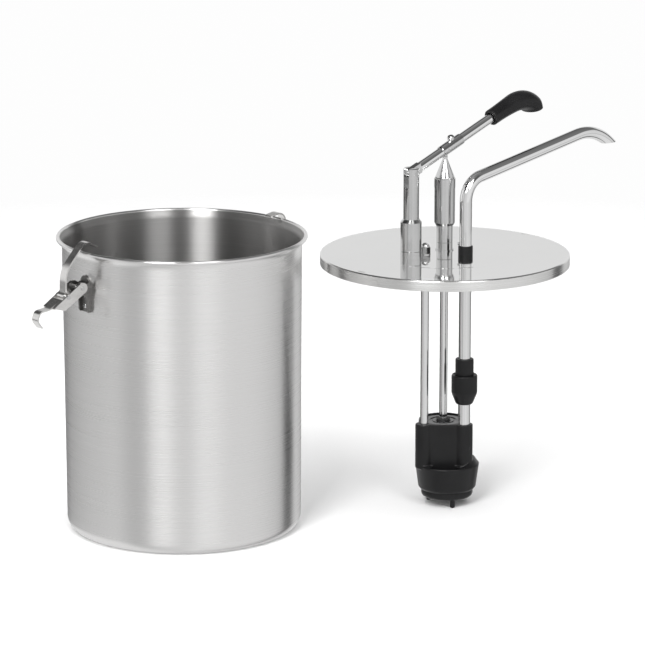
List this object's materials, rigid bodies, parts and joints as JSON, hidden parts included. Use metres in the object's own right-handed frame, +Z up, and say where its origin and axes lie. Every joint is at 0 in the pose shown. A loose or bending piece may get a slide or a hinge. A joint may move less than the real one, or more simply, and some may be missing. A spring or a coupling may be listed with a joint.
{
  "type": "condiment pump dispenser",
  "caption": "Free-standing steel sauce pot with over-centre latches, beside its lid with a lever pump, swan-neck spout and immersed pump body.",
  "frame": {"origin": "centre of the pot's flat base, on the floor", "axes": "+X from the pot to the pump, +Z up, +Y away from the front"},
  "size_m": [0.5629, 0.3328, 0.3957],
  "materials": {
    "brushed_steel": "satin, brushed round the pot",
    "polished_steel": "polished stainless steel",
    "black_plastic": "moulded satin black",
    "grip_plastic": "soft satin black",
    "white_plastic": "natural food-grade plastic",
    "seal_rubber": "black rubber"
  },
  "bodies": {
    "pot": {"pot_shell": "brushed_steel", "bracket_rivets": "polished_steel", "left_latch_bracket": "brushed_steel", "left_lever_pin": "polished_steel", "right_latch_bracket": "brushed_steel", "right_lever_pin": "polished_steel"},
    "left_latch": {"left_latch_lever": "brushed_steel", "left_hook_pin": "polished_steel"},
    "left_hook": {"left_latch_hook": "brushed_steel"},
    "right_latch": {"right_latch_lever": "brushed_steel", "right_hook_pin": "polished_steel"},
    "right_hook": {"right_latch_hook": "brushed_steel"},
    "pump_unit": {"lid": "brushed_steel", "post_socket": "polished_steel", "lever_post": "polished_steel", "lever_pivot_pin": "polished_steel", "socket_nut": "polished_steel", "guide_tube": "polished_steel", "guide_bush": "white_plastic", "guide_nut": "polished_steel", "spout_tube": "polished_steel", "spout_bush": "black_plastic", "spout_key_pin": "polished_steel", "stay_rod": "polished_steel", "stay_cap_nut": "polished_steel", "union_nut": "black_plastic", "union_sleeve": "black_plastic", "union_seal": "seal_rubber", "outlet_tube": "polished_steel", "pump_body": "black_plastic", "outlet_stop_pin": "black_plastic", "cylinder_cap": "black_plastic", "rod_wiper": "polished_steel", "bottom_cover": "black_plastic", "cover_seal": "seal_rubber", "return_spring": "polished_steel"},
    "lever": {"lever_arm": "polished_steel", "lever_sleeve": "polished_steel", "sleeve_screw": "polished_steel", "link_pin": "polished_steel", "lever_rod": "polished_steel", "lever_grip": "grip_plastic"},
    "plunger": {"plunger_cap": "polished_steel", "plunger_lock_nut": "polished_steel", "plunger_head": "polished_steel", "plunger_rod": "polished_steel", "piston": "white_plastic", "piston_seal": "seal_rubber", "piston_nut": "polished_steel"},
    "inlet_ball": {"inlet_ball": "polished_steel"},
    "outlet_ball": {"outlet_ball": "polished_steel"}
  },
  "joints": [
    {"name": "left_latch_hinge", "type": "hinge", "parent": "pot", "child": "left_latch", "pos_m": [-0.09522, -0.0799, 0.253], "axis": [0.6428, -0.766, 0], "range_deg": [-60, 61]},
    {"name": "left_hook_hinge", "type": "hinge", "parent": "left_latch", "child": "left_hook", "pos_m": [-0.10784, -0.09049, 0.24672], "axis": [0.6428, -0.766, 0], "range_deg": [-40.15, 39.5]},
    {"name": "right_latch_hinge", "type": "hinge", "parent": "pot", "child": "right_latch", "pos_m": [0.09381, 0.08155, 0.253], "axis": [-0.6561, 0.7547, 0], "range_deg": [-112, 9]},
    {"name": "right_hook_hinge", "type": "hinge", "parent": "right_latch", "child": "right_hook", "pos_m": [0.09773, 0.08495, 0.23615], "axis": [-0.6561, 0.7547, 0], "range_deg": [-6.35, 73.3]},
    {"name": "pump_lift", "type": "slide", "parent": "pot", "child": "pump_unit", "axis": [0, 0, 1], "range_m": [0, 0.33]},
    {"name": "lever_hinge", "type": "hinge", "parent": "pump_unit", "child": "lever", "pos_m": [0.21897, 0.04477, 0.336], "axis": [-0.7071, 0.7071, 0], "range_deg": [0, 27.4]},
    {"name": "plunger_slide", "type": "slide", "parent": "pump_unit", "child": "plunger", "axis": [0, 0, -1], "range_m": [0, 0.0236], "stiffness_N_per_m": 500, "springref_m": -0.03, "deforming": ["return_spring"]},
    {"name": "inlet_ball_lift", "type": "slide", "parent": "pump_unit", "child": "inlet_ball", "axis": [0, 0, 1], "range_m": [0, 0.003]},
    {"name": "outlet_ball_lift", "type": "slide", "parent": "pump_unit", "child": "outlet_ball", "axis": [0, 0, 1], "range_m": [0, 0.003]}
  ],
  "couplings": [
    {"joint": "left_hook_hinge", "follows": "left_latch_hinge", "ratio": -0.65},
    {"joint": "right_hook_hinge", "follows": "right_latch_hinge", "ratio": -0.65},
    {"joint": "plunger_slide", "follows": "lever_hinge", "m_per_rad": 0.04905}
  ]
}
